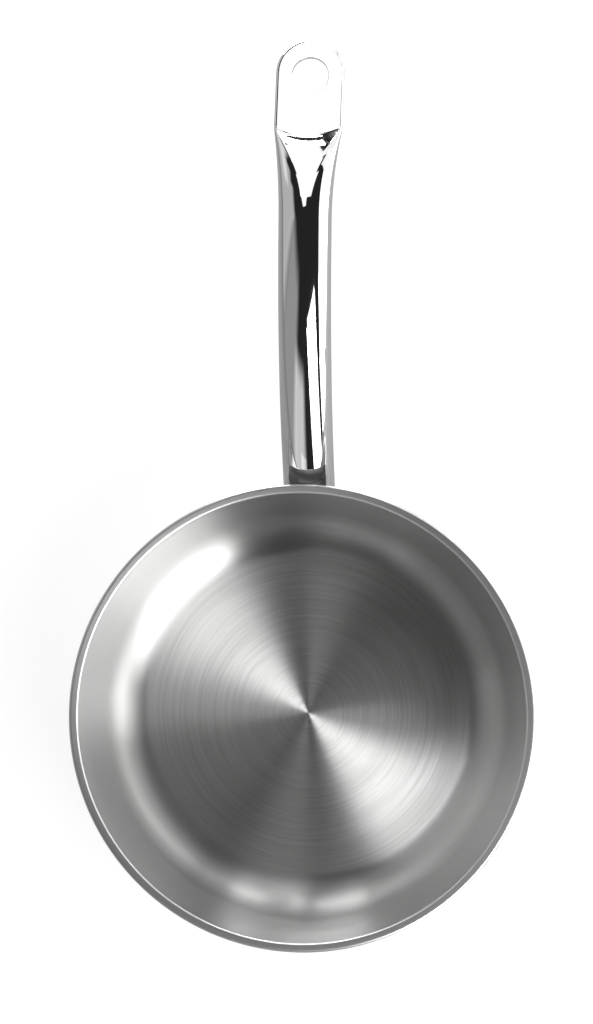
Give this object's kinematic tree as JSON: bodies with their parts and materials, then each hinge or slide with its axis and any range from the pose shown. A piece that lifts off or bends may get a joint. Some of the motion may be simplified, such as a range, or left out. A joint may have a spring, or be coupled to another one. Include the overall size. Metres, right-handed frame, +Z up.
{
  "type": "frying pan",
  "caption": "Stainless-steel frying pan with sloping walls, a pouring rim, a thick sandwich base and a long arched hollow handle that ends in a flat hanging tab.",
  "frame": {"origin": "centre of the flat face of the base that rests on the hob", "axes": "+Z up out of the bowl, +Y from the bowl's centre along the handle, +X to the right seen from above with the handle pointing away"},
  "size_m": [0.2084, 0.3999, 0.1057],
  "materials": {
    "vessel_steel": "circular satin brushing inside and out",
    "core_aluminium": "plain rolled",
    "capsule_steel": "fine turned rings, magnetic stainless steel",
    "handle_steel": "mirror-polished stainless steel",
    "fitting_steel": "pressed and tumbled stainless steel",
    "weld_steel": "cleaned weld metal"
  },
  "bodies": {
    "root": {"pan_body": "vessel_steel", "heat_core": "core_aluminium", "base_capsule": "capsule_steel", "handle_tube": "handle_steel", "end_plug": "fitting_steel", "root_bracket": "fitting_steel", "spot_welds": "weld_steel", "root_weld": "weld_steel"}
  },
  "joints": []
}
